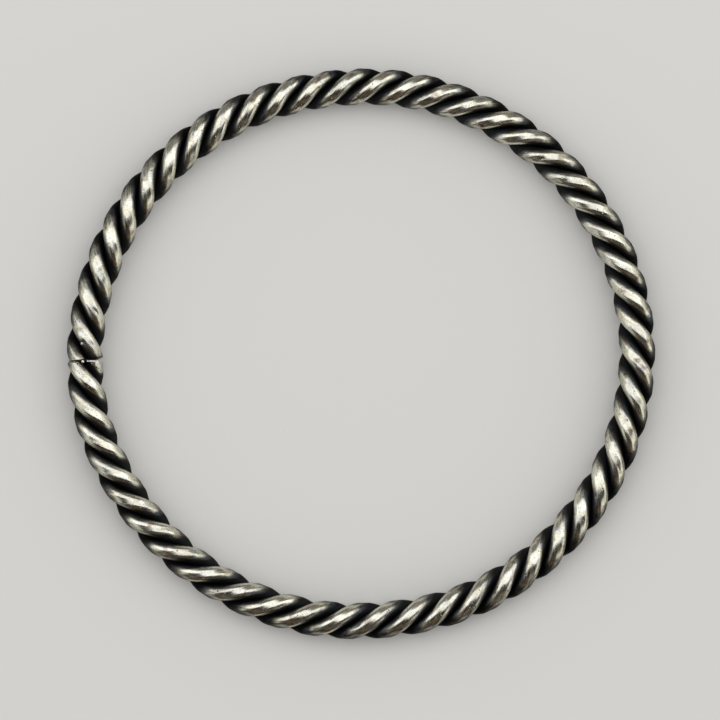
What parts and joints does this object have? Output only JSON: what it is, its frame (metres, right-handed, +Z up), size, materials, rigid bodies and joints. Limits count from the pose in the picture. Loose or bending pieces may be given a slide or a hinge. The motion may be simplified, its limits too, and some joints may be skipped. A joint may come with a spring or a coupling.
{
  "type": "twisted wire bangle",
  "caption": "Closed, slightly oval bangle of round silver wires twisted to the left into one cord, its ends soldered together.",
  "frame": {"origin": "under the middle of the ring, on the surface that the ring lies on", "axes": "+X along the ring's long way, +Z up out of the ring's plane"},
  "size_m": [0.072, 0.0697, 0.0044],
  "materials": {
    "silver_wire": "worn silver, bright on the crests, brown and then black with tarnish towards the grooves",
    "silver_solder": "dark tarnished silver solder with a bright bead"
  },
  "bodies": {
    "root": {"strand_1": "silver_wire", "strand_2": "silver_wire", "strand_3": "silver_wire", "solder_joint": "silver_solder"}
  },
  "joints": []
}
